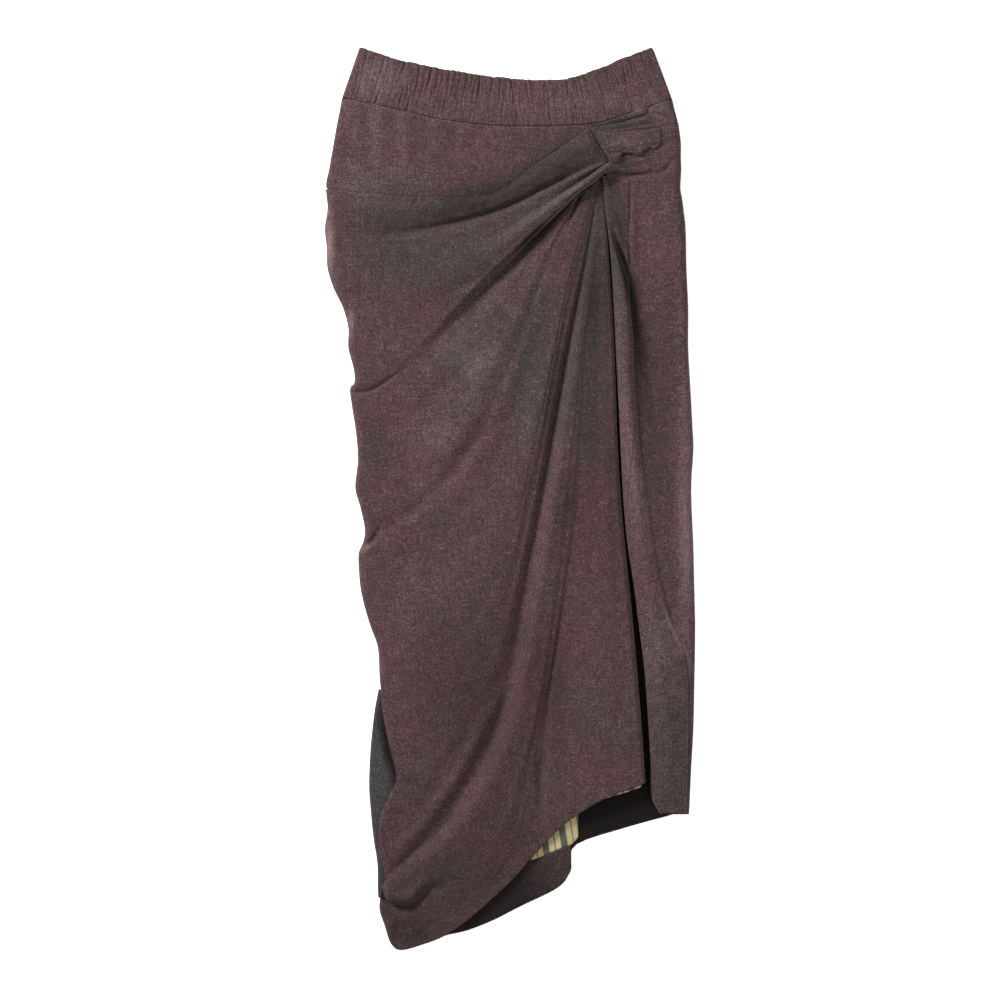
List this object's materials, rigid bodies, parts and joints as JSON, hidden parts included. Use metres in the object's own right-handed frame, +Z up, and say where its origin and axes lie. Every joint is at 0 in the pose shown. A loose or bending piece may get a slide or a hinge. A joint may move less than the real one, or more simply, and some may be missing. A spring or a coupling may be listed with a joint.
{
  "type": "draped wrap skirt",
  "caption": "Long draped wrap skirt lying flat, with a gathered elastic waistband, a knot at the hip, folds that fan out from it, a turned slit edge and a slanted hem.",
  "frame": {"origin": "on the surface the skirt lies on, under the middle of its outline", "axes": "+X to the right of the skirt as seen from above, +Y along its length towards the waist, +Z up out of its front"},
  "size_m": [0.4267, 1.039, 0.0246],
  "materials": {
    "outer_cloth": "napped wool-like cloth with mottled plum and grey-green dye",
    "striped_lining": "smooth striped lining in beige and grey-green"
  },
  "bodies": {
    "root": {"waistband": "outer_cloth", "front_yoke": "outer_cloth", "back_panel": "outer_cloth", "side_return": "outer_cloth", "side_panel": "outer_cloth", "turned_edge": "outer_cloth", "wrap_drape": "outer_cloth", "knot": "outer_cloth", "tie_end": "outer_cloth", "near_hem_facing": "outer_cloth", "far_hem_facing": "outer_cloth", "near_lining": "striped_lining", "far_lining": "striped_lining"}
  },
  "joints": []
}
